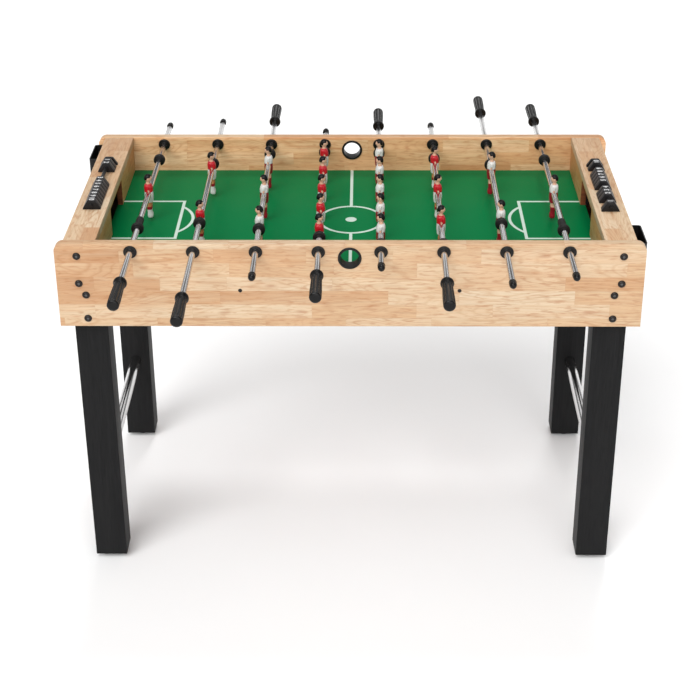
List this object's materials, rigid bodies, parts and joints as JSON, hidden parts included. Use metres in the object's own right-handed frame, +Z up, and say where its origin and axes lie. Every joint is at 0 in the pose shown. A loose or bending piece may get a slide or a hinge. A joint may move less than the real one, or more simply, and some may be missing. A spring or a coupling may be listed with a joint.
{
  "type": "foosball table",
  "caption": "Free-standing foosball table with sliding and turning player rods, side handles, goals with ball trays, bead score counters and levelling feet.",
  "frame": {"origin": "on the floor under the middle of the playing field", "axes": "+X along the field towards the right-hand goal, +Y from the near side to the far side, +Z up"},
  "size_m": [1.232, 1.197, 0.84],
  "materials": {
    "butcher_block": "satin printed or veneered finger-jointed wood",
    "raw_wood": "plain sawn wood",
    "goal_box": "dark stained wood",
    "field_green": "green printed board, semi-gloss",
    "black_wood": "painted near-black wood, faint grain",
    "black_plastic": "semi-gloss moulded",
    "black_metal": "black plated bolts",
    "rod_chrome": "polished",
    "rubber": "matte",
    "grip_black": "satin moulded",
    "men_red": "painted, semi-gloss",
    "men_white": "painted, semi-gloss",
    "bead_black": "semi-gloss with printed white numbers",
    "ball_white": "gloss, white with black spots"
  },
  "bodies": {
    "table": {"side_panel_front": "butcher_block", "side_panel_back": "butcher_block", "end_panels": "butcher_block", "end_rails": "butcher_block", "goal_walls": "butcher_block", "playfield": "field_green", "inner_battens": "raw_wood", "goal_trays": "goal_box", "ball_returns": "black_plastic", "serve_rings": "black_plastic", "rod_bearings": "black_plastic", "wall_bumpers": "rubber", "legs": "black_wood", "leg_braces": "rod_chrome", "leg_end_caps": "black_plastic", "fasteners": "black_metal", "counter_frames": "black_plastic"},
    "rod1_slider": {"rod1_bumpers": "rubber"},
    "rod1_spinner": {"rod1_tube": "rod_chrome", "rod1_men": "men_red", "rod1_grip": "grip_black"},
    "rod2_slider": {"rod2_bumpers": "rubber"},
    "rod2_spinner": {"rod2_tube": "rod_chrome", "rod2_men": "men_red", "rod2_grip": "grip_black"},
    "rod3_slider": {"rod3_bumpers": "rubber"},
    "rod3_spinner": {"rod3_tube": "rod_chrome", "rod3_men": "men_white", "rod3_grip": "grip_black"},
    "rod4_slider": {"rod4_bumpers": "rubber"},
    "rod4_spinner": {"rod4_tube": "rod_chrome", "rod4_men": "men_red", "rod4_grip": "grip_black"},
    "rod5_slider": {"rod5_bumpers": "rubber"},
    "rod5_spinner": {"rod5_tube": "rod_chrome", "rod5_men": "men_white", "rod5_grip": "grip_black"},
    "rod6_slider": {"rod6_bumpers": "rubber"},
    "rod6_spinner": {"rod6_tube": "rod_chrome", "rod6_men": "men_red", "rod6_grip": "grip_black"},
    "rod7_slider": {"rod7_bumpers": "rubber"},
    "rod7_spinner": {"rod7_tube": "rod_chrome", "rod7_men": "men_white", "rod7_grip": "grip_black"},
    "rod8_slider": {"rod8_bumpers": "rubber"},
    "rod8_spinner": {"rod8_tube": "rod_chrome", "rod8_men": "men_white", "rod8_grip": "grip_black"},
    "beads_left_1": {"beads_left_1": "bead_black"},
    "beads_left_2": {"beads_left_2": "bead_black"},
    "beads_right_1": {"beads_right_1": "bead_black"},
    "beads_right_2": {"beads_right_2": "bead_black"},
    "beads_right_3": {"beads_right_3": "bead_black"},
    "beads_right_4": {"beads_right_4": "bead_black"},
    "leveller_left_near": {"leveller_left_near": "black_plastic"},
    "leveller_left_far": {"leveller_left_far": "black_plastic"},
    "leveller_right_near": {"leveller_right_near": "black_plastic"},
    "leveller_right_far": {"leveller_right_far": "black_plastic"},
    "ball": {"ball": "ball_white"}
  },
  "joints": [
    {"name": "rod1_slide", "type": "slide", "parent": "table", "child": "rod1_slider", "axis": [0, 1, 0], "range_m": [-0.0775, 0.0805]},
    {"name": "rod1_spin", "type": "hinge", "parent": "rod1_slider", "child": "rod1_spinner", "pos_m": [-0.4515, 0, 0.794], "axis": [0, 1, 0], "continuous": true},
    {"name": "rod2_slide", "type": "slide", "parent": "table", "child": "rod2_slider", "axis": [0, 1, 0], "range_m": [-0.103, 0.1045]},
    {"name": "rod2_spin", "type": "hinge", "parent": "rod2_slider", "child": "rod2_spinner", "pos_m": [-0.3225, 0, 0.794], "axis": [0, 1, 0], "continuous": true},
    {"name": "rod3_slide", "type": "slide", "parent": "table", "child": "rod3_slider", "axis": [0, 1, 0], "range_m": [-0.073, 0.0455]},
    {"name": "rod3_spin", "type": "hinge", "parent": "rod3_slider", "child": "rod3_spinner", "pos_m": [-0.1935, 0, 0.794], "axis": [0, 1, 0], "continuous": true},
    {"name": "rod4_slide", "type": "slide", "parent": "table", "child": "rod4_slider", "axis": [0, 1, 0], "range_m": [-0.034, 0.0335]},
    {"name": "rod4_spin", "type": "hinge", "parent": "rod4_slider", "child": "rod4_spinner", "pos_m": [-0.0645, 0, 0.794], "axis": [0, 1, 0], "continuous": true},
    {"name": "rod5_slide", "type": "slide", "parent": "table", "child": "rod5_slider", "axis": [0, 1, 0], "range_m": [-0.035, 0.04]},
    {"name": "rod5_spin", "type": "hinge", "parent": "rod5_slider", "child": "rod5_spinner", "pos_m": [0.0645, 0, 0.794], "axis": [0, 1, 0], "continuous": true},
    {"name": "rod6_slide", "type": "slide", "parent": "table", "child": "rod6_slider", "axis": [0, 1, 0], "range_m": [-0.077, 0.0725]},
    {"name": "rod6_spin", "type": "hinge", "parent": "rod6_slider", "child": "rod6_spinner", "pos_m": [0.1935, 0, 0.794], "axis": [0, 1, 0], "continuous": true},
    {"name": "rod7_slide", "type": "slide", "parent": "table", "child": "rod7_slider", "axis": [0, 1, 0], "range_m": [-0.1015, 0.1105]},
    {"name": "rod7_spin", "type": "hinge", "parent": "rod7_slider", "child": "rod7_spinner", "pos_m": [0.3225, 0, 0.794], "axis": [0, 1, 0], "continuous": true},
    {"name": "rod8_slide", "type": "slide", "parent": "table", "child": "rod8_slider", "axis": [0, 1, 0], "range_m": [-0.0695, 0.0815]},
    {"name": "rod8_spin", "type": "hinge", "parent": "rod8_slider", "child": "rod8_spinner", "pos_m": [0.4515, 0, 0.794], "axis": [0, 1, 0], "continuous": true},
    {"name": "beads_left_1_slide", "type": "slide", "parent": "table", "child": "beads_left_1", "axis": [0, 1, 0], "range_m": [0, 0.0708]},
    {"name": "beads_left_2_slide", "type": "slide", "parent": "table", "child": "beads_left_2", "axis": [0, 1, 0], "range_m": [-0.0708, 0]},
    {"name": "beads_right_1_slide", "type": "slide", "parent": "table", "child": "beads_right_1", "axis": [0, 1, 0], "range_m": [0, 0.0258]},
    {"name": "beads_right_2_slide", "type": "slide", "parent": "table", "child": "beads_right_2", "axis": [0, 1, 0], "range_m": [-0.0258, 0.0203]},
    {"name": "beads_right_3_slide", "type": "slide", "parent": "table", "child": "beads_right_3", "axis": [0, 1, 0], "range_m": [-0.0203, 0.0243]},
    {"name": "beads_right_4_slide", "type": "slide", "parent": "table", "child": "beads_right_4", "axis": [0, 1, 0], "range_m": [-0.0243, 0]},
    {"name": "leveller_left_near_screw", "type": "slide", "parent": "table", "child": "leveller_left_near", "axis": [0, 0, -1], "range_m": [0, 0.01]},
    {"name": "leveller_left_far_screw", "type": "slide", "parent": "table", "child": "leveller_left_far", "axis": [0, 0, -1], "range_m": [0, 0.01]},
    {"name": "leveller_right_near_screw", "type": "slide", "parent": "table", "child": "leveller_right_near", "axis": [0, 0, -1], "range_m": [0, 0.01]},
    {"name": "leveller_right_far_screw", "type": "slide", "parent": "table", "child": "leveller_right_far", "axis": [0, 0, -1], "range_m": [0, 0.01]},
    {"name": "ball_roll", "type": "slide", "parent": "table", "child": "ball", "axis": [0, 1, 0], "range_m": [-0.2565, 0.0255]}
  ]
}
